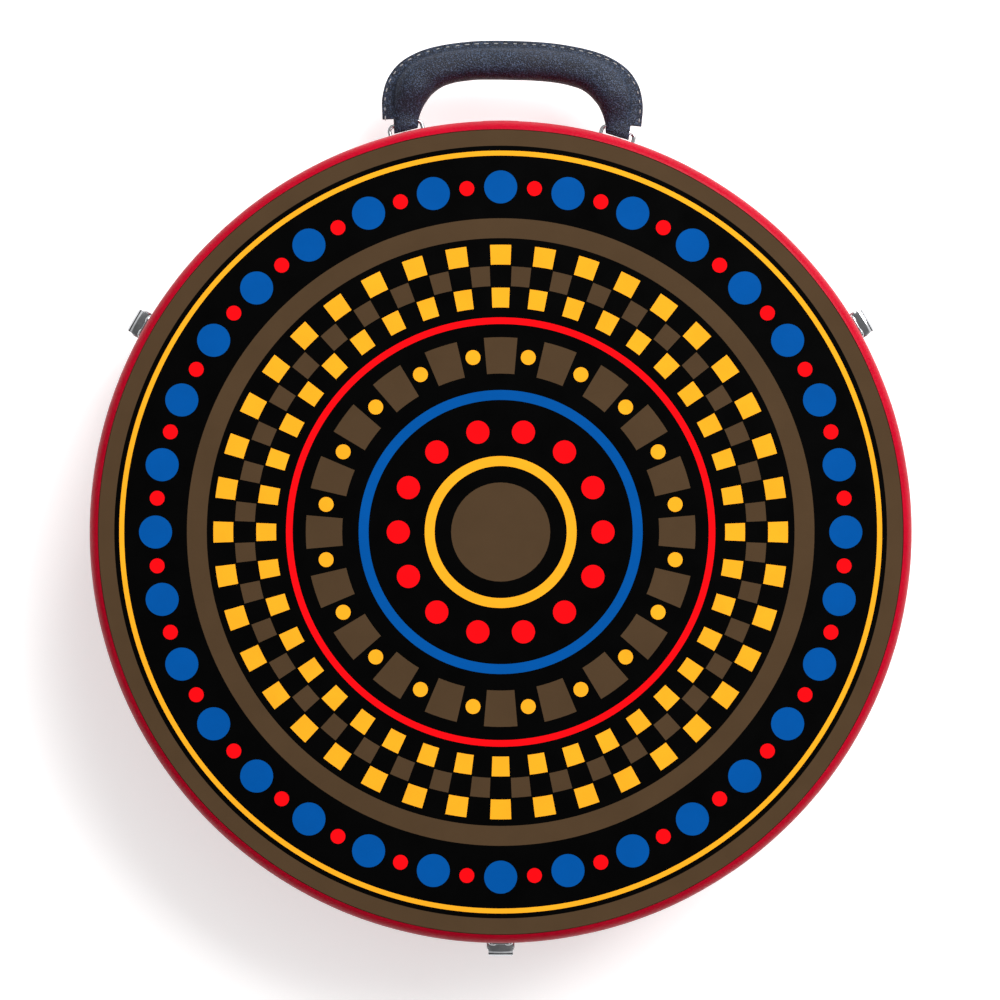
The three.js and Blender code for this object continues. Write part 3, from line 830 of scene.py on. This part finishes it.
def latch_hook_shape():
    """A bent strap round the hook's pin, widening to the claw that reaches over the keeper."""
    face, thick = 10.6, 1.2
    high = high_of("latch_1_hook").z
    low = high - thick
    outline = rounded(pin_round(LINK, 2.4, 75, 345) + [
        (face, 68, 2.5), (face, high, 3.8), (1.7, high, 0.5), (1.7, low, 0.4),
        (face - thick, low, 2.6), (face - thick, 68.6, 2)], 8)
    front = rounded([(-4.7, 57), (4.7, 57), (4.7, 77, 3), (HOOK_HALF, 83, 2.5), (HOOK_HALF, 92),
                     (-HOOK_HALF, 92), (-HOOK_HALF, 83, 2.5), (-4.7, 77, 3)])
    plan = rounded([(0, -HOOK_HALF), (face, -HOOK_HALF, 1.8), (face, HOOK_HALF, 1.8), (0, HOOK_HALF)])
    shape = combine(prism(SIDE_VIEW, outline, -HOOK_HALF, HOOK_HALF),
                    ("INTERSECT", prism(FRONT_VIEW, front, 0, 14)),
                    ("INTERSECT", prism(PLAN_VIEW, plan, 50, 95)))
    return soften(shape, 0.2)


def latch_keeper_shape():
    """The riveted plate on the lid, with the shelf that the claw bears on."""
    under = KEEPER_SHELF - 1
    outline = rounded([(PLATE_IN, under, 0.9), (7, under, 0.3), (7, KEEPER_SHELF, 0.3),
                       (PLATE_OUT, KEEPER_SHELF, 0.3), (PLATE_OUT, KEEPER_HIGH), (PLATE_IN, KEEPER_HIGH)])
    front = rounded([(-HOOK_HALF, 80), (HOOK_HALF, 80), (HOOK_HALF, KEEPER_HIGH, 3),
                     (-HOOK_HALF, KEEPER_HIGH, 3)])
    shape = combine(prism(SIDE_VIEW, outline, -HOOK_HALF, HOOK_HALF),
                    ("INTERSECT", prism(FRONT_VIEW, front, 0, 9)))
    return soften(shape, 0.15)


def add_latches():
    plate_shape = latch_plate_shape()
    lever_shape = latch_lever_shape()
    hook_shape = latch_hook_shape()
    keeper_shape = latch_keeper_shape()
    lever_pin = pin(*PIVOT, LEVER_PIN_RADIUS, LATCH_HALF)
    hook_pin = pin(*LINK, HOOK_PIN_RADIUS, LATCH_HALF)
    for number in (1, 2, 3):
        latch = f"latch_{number}"
        angle = direction_of(latch + "_keeper")
        parts = (("plate", plate_shape, "base", chrome, "chrome"),
                 ("lever", lever_shape, latch + "_lever", chrome, "chrome"),
                 ("hook", hook_shape, latch + "_hook", chrome, "chrome"),
                 ("keeper", keeper_shape, "lid", chrome, "chrome"),
                 ("lever_pin", lever_pin, "base", steel, "pin_steel"),
                 ("hook_pin", hook_pin, latch + "_lever", steel, "pin_steel"))
        for part, shape, body, material, slot in parts:
            put(f"{latch}_{part}_fine", placed(shape, angle), material, body, [f"{latch}_{part}"])
        for index, up in enumerate(PLATE_RIVETS):
            name = f"{latch}_plate_rivet_{index + 1}"
            shape = rivet(RIVET_RADIUS, PLATE_OUT, 0, up)
            put(name + "_fine", placed(shape, angle), chrome, "base", [name])
        for index, side in enumerate(KEEPER_RIVETS):
            name = f"{latch}_keeper_rivet_{index + 1}"
            shape = rivet(RIVET_RADIUS, PLATE_OUT, side, KEEPER_UP)
            put(name + "_fine", placed(shape, angle), chrome, "lid", [name])


# ---- The handle ----
RING_WIRE = 1.3
RING_BARS = (4.2, 12.4)      # how far the ring's two bars are from the wall
RING_HALF = 10.5             # half its width
RING_BEND = 3
WIRE_SIDES = 18
BRACKET_HALF_WIDTH = 7
BRACKET_HALF_HEIGHT = 13
BRACKET_RIVET = 9            # from the bracket's middle to each rivet
BRACKET_RIVET_RADIUS = 2.6
HANDLE_ANGLE = (direction_of("handle_bracket_left") + direction_of("handle_bracket_right")) / 2
handle_turn = Matrix.Rotation(math.radians(HANDLE_ANGLE - 90), 4, "Z")

# Half of the grip seen from above, from the left foot to the middle: outer side, then inner side.
GRIP_OUTER = [(-73.6, 247.2), (-74.6, 259), (-75, 270), (-72.6, 281), (-65.2, 290.5), (-50.5, 297.8),
              (-27, 302.2), (0, 303.3)]
GRIP_INNER = [(-59.0, 251.2), (-58.2, 258), (-55.6, 265.2), (-51.2, 271.8), (-45, 277), (-36.5, 280.4),
              (-21.5, 282.6), (0, 283)]


def whole(half):
    """Both halves of a line, from its left half."""
    return [Vector(point) for point in half] + [Vector((-x, y)) for x, y in reversed(half[:-1])]


def smooth_point(points, at):
    """A point of the smooth curve through a list of points; at runs from 0 to the last index."""
    index = min(int(at), len(points) - 2)
    share = at - index
    one, two = points[index], points[index + 1]
    before = points[index - 1] if index else 2 * one - two
    after = points[index + 2] if index + 2 < len(points) else 2 * two - one
    return 0.5 * (2 * one + (two - before) * share
                  + (2 * before - 5 * one + 4 * two - after) * share ** 2
                  + (3 * one - before - 3 * two + after) * share ** 3)


outer_line = whole(GRIP_OUTER)
inner_line = whole(GRIP_INNER)
GRIP_SPAN = len(outer_line) - 1
FOOT_THICK = 3.8             # half the grip's thickness at its feet
THICKER = 6.8                # how much it gains towards the middle
STEP_LENGTH = 10.6           # about how far apart the line's points are at the feet
FOLD_LENGTH = 3.7            # of the end that is folded shut over the ring
FOLD_SHARE = 0.12            # how thick the fold's very end is
SIDE_FULLNESS = 0.86         # below 1 the section is squarer than an ellipse
TOP_FULLNESS = 0.92


def grip_section(at):
    """Middle, half width, sideways direction and half thickness of the grip at a place along it."""
    outer, inner = smooth_point(outer_line, at), smooth_point(inner_line, at)
    middle = (outer + inner) / 2
    across = (outer - inner).normalized()
    thick = FOOT_THICK + THICKER * smoothstep(middle.y, 256, 277)
    return middle, (outer - inner).length / 2, across, thick


def in_case(point, height):
    """A point of the handle's own plane, in the case's frame."""
    return handle_turn @ Vector((point.x * MM, point.y * MM, (HANDLE_Z + height) * MM))


def loft(bm, loops, endless=False):
    """Skins a row of loops, and closes both ends unless the row runs back into itself."""
    rows = [[bm.verts.new(place) for place in loop] for loop in loops]
    following = rows[1:] + rows[:1] if endless else rows[1:]
    for row, after in zip(rows, following):
        for index, vertex in enumerate(row):
            beside = (index + 1) % len(row)
            bm.faces.new((vertex, row[beside], after[beside], after[index]))
    if not endless:
        bm.faces.new(rows[0][::-1])
        bm.faces.new(rows[-1])
    return bm


def grip_stations(count):
    """Places along the grip, closer together at the feet, where the leather folds round the ring."""
    places = [0.0, 0.02, 0.05, 0.1, 0.17, 0.25, 0.35]
    middle = [0.35 + (GRIP_SPAN - 0.7) * (step + 1) / count for step in range(count - 1)]
    return places + middle + [GRIP_SPAN - place for place in reversed(places)]


def add_grip():
    """The padded leather grip, thick in the middle and folded shut at its feet."""
    around_count = 44
    loops = []
    for at in grip_stations(120):
        middle, half, across, thick = grip_section(at)
        along = Vector((across.y, -across.x))
        from_end = min(at, GRIP_SPAN - at) * STEP_LENGTH
        fold = math.sqrt(1 - (1 - min(1, from_end / FOLD_LENGTH)) ** 2)
        height = FOLD_SHARE + (1 - FOLD_SHARE) * fold
        loop = []
        for step in range(around_count):
            angle = 2 * math.pi * step / around_count
            side = math.copysign(abs(math.cos(angle)) ** SIDE_FULLNESS, math.cos(angle)) * half
            up = math.copysign(abs(math.sin(angle)) ** TOP_FULLNESS, math.sin(angle)) * thick * height
            lump = 0.3 * noise.noise(Vector((at * 1.4, side / 9, up / 9 + 3)))
            grow = 1 + lump / max(half, thick)
            loop.append(in_case(middle + across * side * grow, up * grow))
        loops.append(loop)
    piece = put("handle_leather", loft(bmesh.new(), loops), leather, "handle",
                ["handle_cover"], 50)


FLANGE_FROM = 0.78           # where along the grip the sewn edge starts
FLANGE_HALF = 1.35           # half its thickness
STITCH_INSET = 1.9           # from its outer edge to the stitches
STITCH_PITCH = 6.0
STITCH_THICK = 0.3           # half the thread's thickness
STITCH_STEPS = 8
THREAD_SIDES = 8


def flange_width(y):
    """How far the sewn edge stands out: less over the top of the grip than at its sides."""
    return 6.9 - 2.7 * smoothstep(y, 264, 303)


def stitch_line(at):
    """A point of the line that the stitches follow."""
    return outer_edge(at, flange_width(outer_edge(at, 0).y) - STITCH_INSET)


def outer_edge(at, beyond):
    """A point beyond the grip's outer side, square to it."""
    here = smooth_point(outer_line, at)
    after = smooth_point(outer_line, min(at + 0.01, GRIP_SPAN))
    ahead = after - smooth_point(outer_line, max(at - 0.01, 0))
    square = Vector((-ahead.y, ahead.x)).normalized()
    return here + square * beyond


def add_flange():
    """The two edges of the leather, laid together and sewn round the outside of the grip."""
    count = 130
    loops = []
    for step in range(count + 1):
        at = FLANGE_FROM + (GRIP_SPAN - 2 * FLANGE_FROM) * step / count
        width = flange_width(outer_edge(at, 0).y)
        half = FLANGE_HALF + 0.12 * noise.noise(Vector((at * 3, 0, 9)))
        groove = width - STITCH_INSET
        section = [(-3, 0.85 * half + 1.6), (-0.8, half + 1.1), (0.6, half + 0.1), (groove - 0.8, half),
                   (groove, half - 0.28), (groove + 0.8, half), (width - 0.5, half - 0.15),
                   (width - 0.05, half - 0.55)]
        section += [(beyond, -up) for beyond, up in reversed(section)]
        loops.append([in_case(outer_edge(at, beyond), up) for beyond, up in section])
    put("handle_sewn_edge", loft(bmesh.new(), loops), leather, "handle", (), 40)


def add_stitches():
    """A row of thread stitches on each face of the sewn edge, sunk a little into it."""
    bm = bmesh.new()
    place = FLANGE_FROM + 0.06
    last = GRIP_SPAN - place
    while place < last:
        here = stitch_line(place)
        ahead = stitch_line(place + 0.02)
        per_unit = (ahead - here).length / 0.02
        along = (ahead - here).normalized()
        side = Vector((-along.y, along.x))
        length = 0.5 + 0.28 * noise.noise(Vector((place * 0.9, 4.1, 0)))
        for face in (-1, 1):
            loops = []
            for step in range(STITCH_STEPS + 1):
                share = step / STITCH_STEPS
                run = (share - 0.5) * STITCH_PITCH * length
                sink = (2 * share - 1) ** 4
                thick = STITCH_THICK * (1 - 0.45 * sink)
                centre_up = face * (FLANGE_HALF - 0.16 - 0.5 * sink)
                loop = []
                for angle in even_angles(THREAD_SIDES):
                    point = here + along * run + side * thick * math.cos(angle)
                    loop.append(in_case(point, centre_up + 0.8 * thick * math.sin(angle)))
                loops.append(loop)
            loft(bm, loops)
        place += STITCH_PITCH / per_unit
    put("handle_stitching", bm, thread, "handle", (), 60)


# A bracket's barrel, as (radius, sideways): its bore widens at both ends, so that the ring can turn in it.
BARREL = [(2.5, 1), (2.5, -1), (2.95, -2.9), (3.2, -3), (3.3, -2.8), (3.3, 2.8), (3.2, 3), (2.95, 2.9)]


def add_rings():
    """Each foot's wire ring, and the riveted bracket whose barrel holds the ring's inner bar."""
    inner, outer = RING_BARS
    path = rounded([(inner, -RING_HALF, RING_BEND), (outer, -RING_HALF, RING_BEND),
                    (outer, RING_HALF, RING_BEND), (inner, RING_HALF, RING_BEND)], 8)
    for side in ("left", "right"):
        bracket = f"handle_bracket_{side}"
        angle = direction_of(bracket)
        loops = []
        for index, point in enumerate(path):
            here = Vector(point)
            ahead = Vector(path[(index + 1) % len(path)]) - Vector(path[index - 1])
            square = Vector((ahead.y, -ahead.x)).normalized()
            loop = []
            for wire_angle in even_angles(WIRE_SIDES):
                beside = here + square * RING_WIRE * math.cos(wire_angle)
                up = HANDLE_Z + RING_WIRE * math.sin(wire_angle)
                loop.append((beside.x * MM, beside.y * MM, up * MM))
            loops.append(loop)
        wire = placed(loft(bmesh.new(), loops, endless=True), angle)
        put(f"handle_ring_{side}_fine", wire, chrome, "handle", [f"handle_ring_{side}"])

        plate_outline = rounded_box(BRACKET_HALF_WIDTH, HANDLE_Z - BRACKET_HALF_HEIGHT,
                                    HANDLE_Z + BRACKET_HALF_HEIGHT, 3)
        back = soften(prism(FRONT_VIEW, plate_outline, PLATE_IN, PLATE_OUT), 0.2)
        put(f"{bracket}_fine", placed(back, angle), chrome, "base", [bracket])
        barrel = turned_sideways(BARREL, inner, HANDLE_Z, 40)
        put(f"bracket_{side}_barrel_fine", placed(barrel, angle), chrome, "base")
        for index, up in enumerate((HANDLE_Z - BRACKET_RIVET, HANDLE_Z + BRACKET_RIVET)):
            name = f"bracket_{side}_rivet_{index + 1}"
            shape = rivet(BRACKET_RIVET_RADIUS, PLATE_OUT, 0, up)
            put(name + "_fine", placed(shape, angle), chrome, "base", [name])


def finish_hidden_nodes():
    """The panels and the handle's steel core stay as CAD made them, with their own finishes."""
    for name, material in (("base_panel", plywood), ("lid_panel", plywood), ("handle_core", steel)):
        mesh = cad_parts[name].data
        mesh.materials.clear()
        mesh.materials.append(material)


# ---- Floor, light and camera ----
FLOOR_RADIUS = 6000
FLOOR_TOP = -0.3             # just under the case
FLOOR_LOW = -20


def add_floor():
    bm = bmesh.new()
    turn(bm, [(0, FLOOR_TOP), (FLOOR_RADIUS, FLOOR_TOP), (FLOOR_RADIUS, FLOOR_LOW), (0, FLOOR_LOW)],
         even_angles(96))
    bmesh.ops.recalc_face_normals(bm, faces=bm.faces)
    mesh = mesh_of("floor", bm)
    mesh.materials.append(floor_material())
    floor = place_object("floor", mesh)


def aim(made, target):
    """Turns a light to face a point."""
    made.rotation_euler = (Vector(target) - made.location).to_track_quat("-Z", "Y").to_euler()


def add_softbox(name, azimuth, elevation, distance, size, power):
    """A square soft light, aimed at the middle of the case."""
    around_z, above = math.radians(azimuth), math.radians(elevation)
    light = bpy.data.lights.new(name, "AREA")
    light.size = size
    light.energy = power
    made = place_object(name, light)
    made.location = (distance * math.cos(above) * math.cos(around_z),
                     distance * math.cos(above) * math.sin(around_z), distance * math.sin(above))
    aim(made, (0, 0, 0.06))


BRIGHT_AZIMUTH = 50          # where the room is brightest
BRIGHT_RISE = 0.35


def add_world():
    """A studio: dark walls and, above them, a band of light that is strongest to the right and the top."""
    world = bpy.data.worlds.new("room")
    world.use_nodes = True
    tree = world.node_tree
    place = node(tree, "ShaderNodeTexCoord").outputs["Generated"]
    azimuth = math.radians(BRIGHT_AZIMUTH)
    bright_side = Vector((math.cos(azimuth), math.sin(azimuth), BRIGHT_RISE)).normalized()
    facing = node(tree, "ShaderNodeVectorMath", {0: place, 1: tuple(bright_side)},
                  operation="DOT_PRODUCT").outputs["Value"]
    ceiling = node(tree, "ShaderNodeSeparateXYZ", {"Vector": place}).outputs["Z"]
    above_walls = spread(tree, ceiling, 0.5, 0.6, 0.1, 1.25)
    overhead = spread(tree, ceiling, 0.86, 0.92, 0, 1.0)
    band = total(tree, above_walls, overhead, -1)
    glow = {0: spread(tree, facing, -0.7, 0.7, 0.28, 1.04), 1: band}
    strength = node(tree, "ShaderNodeMath", glow, operation="MULTIPLY").outputs[0]
    background = tree.nodes["Background"]
    background.inputs["Color"].default_value = (1, 1, 1, 1)
    tree.links.new(strength, background.inputs["Strength"])
    scene.world = world


def add_camera():
    """Straight above the lid, from two metres, with the handle up."""
    camera = bpy.data.cameras.new("camera")
    camera.sensor_width = 36
    camera.lens = 118.9
    camera.clip_end = 50
    made = place_object("camera", camera)
    made.location = (-0.0004, 0.0194, FACE * MM + 2.0)
    scene.camera = made


add_camera()
add_world()
add_softbox("key", 52, 42, 5.2, 3.6, 390)
add_floor()
scene.view_settings.view_transform = "Standard"

print_face()
add_shells()
add_padding()
add_latches()
add_grip()
add_flange()
add_stitches()
add_rings()
finish_hidden_nodes()
